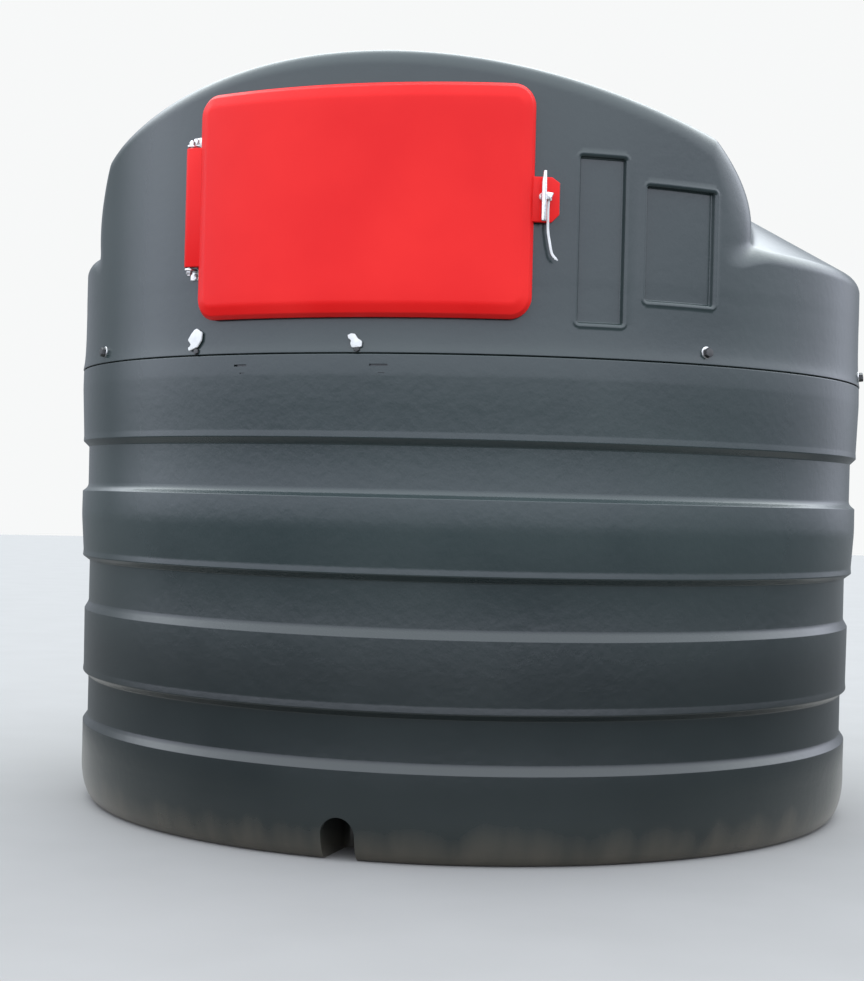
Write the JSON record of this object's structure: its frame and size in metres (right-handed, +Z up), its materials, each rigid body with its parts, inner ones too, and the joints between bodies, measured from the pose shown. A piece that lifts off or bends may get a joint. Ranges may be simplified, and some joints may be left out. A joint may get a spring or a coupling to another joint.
{
  "type": "bunded vertical storage tank with cabinet hood",
  "caption": "Round ribbed plastic storage tank with a conical cover, an arched hood and a curved hinged cabinet door.",
  "frame": {"origin": "centre of the round base at ground level, on the tank's vertical axis", "axes": "+Z up, -Y towards the cabinet door, +X to the right of someone who faces the door"},
  "size_m": [2.302, 2.331, 1.977],
  "materials": {
    "slate_plastic": "satin, slightly mottled",
    "door_red": "satin",
    "zinc": "zinc plated",
    "white_tie": "satin"
  },
  "bodies": {
    "tank": {"bund_floor": "slate_plastic", "bund_floor_front_left": "slate_plastic", "bund_floor_front_right": "slate_plastic", "bund_wall_front_left": "slate_plastic", "bund_wall_front_middle": "slate_plastic", "bund_wall_front_right": "slate_plastic", "bund_wall_right": "slate_plastic", "bund_wall_back": "slate_plastic", "bund_wall_left": "slate_plastic", "bund_rim": "slate_plastic", "base_arch_recess": "slate_plastic", "front_sill": "slate_plastic", "front_header": "slate_plastic", "front_wall_left": "slate_plastic", "front_wall_right": "slate_plastic", "cover_skirt_right": "slate_plastic", "cover_skirt_back": "slate_plastic", "cover_skirt_left": "slate_plastic", "cone_roof_right": "slate_plastic", "cone_roof_back": "slate_plastic", "cone_roof_left": "slate_plastic", "hood_side_right": "slate_plastic", "hood_side_left": "slate_plastic", "hood_back": "slate_plastic", "hood_roof": "slate_plastic", "cabinet_floor": "slate_plastic", "cabinet_top": "slate_plastic", "cabinet_side_right": "slate_plastic", "cabinet_side_left": "slate_plastic", "cabinet_back": "slate_plastic", "hinge_pin": "zinc", "hinge_bracket_upper": "zinc", "hinge_bracket_lower": "zinc"},
    "door": {"door_panel": "door_red", "door_hinge_leaf": "door_red", "door_latch_tab": "door_red", "latch_bar": "zinc", "latch_tie": "white_tie"}
  },
  "joints": [
    {"name": "door_hinge", "type": "hinge", "parent": "tank", "child": "door", "pos_m": [-0.44697, -1.07909, 1.615], "axis": [0, 0, -1], "range_deg": [0, 110]}
  ]
}
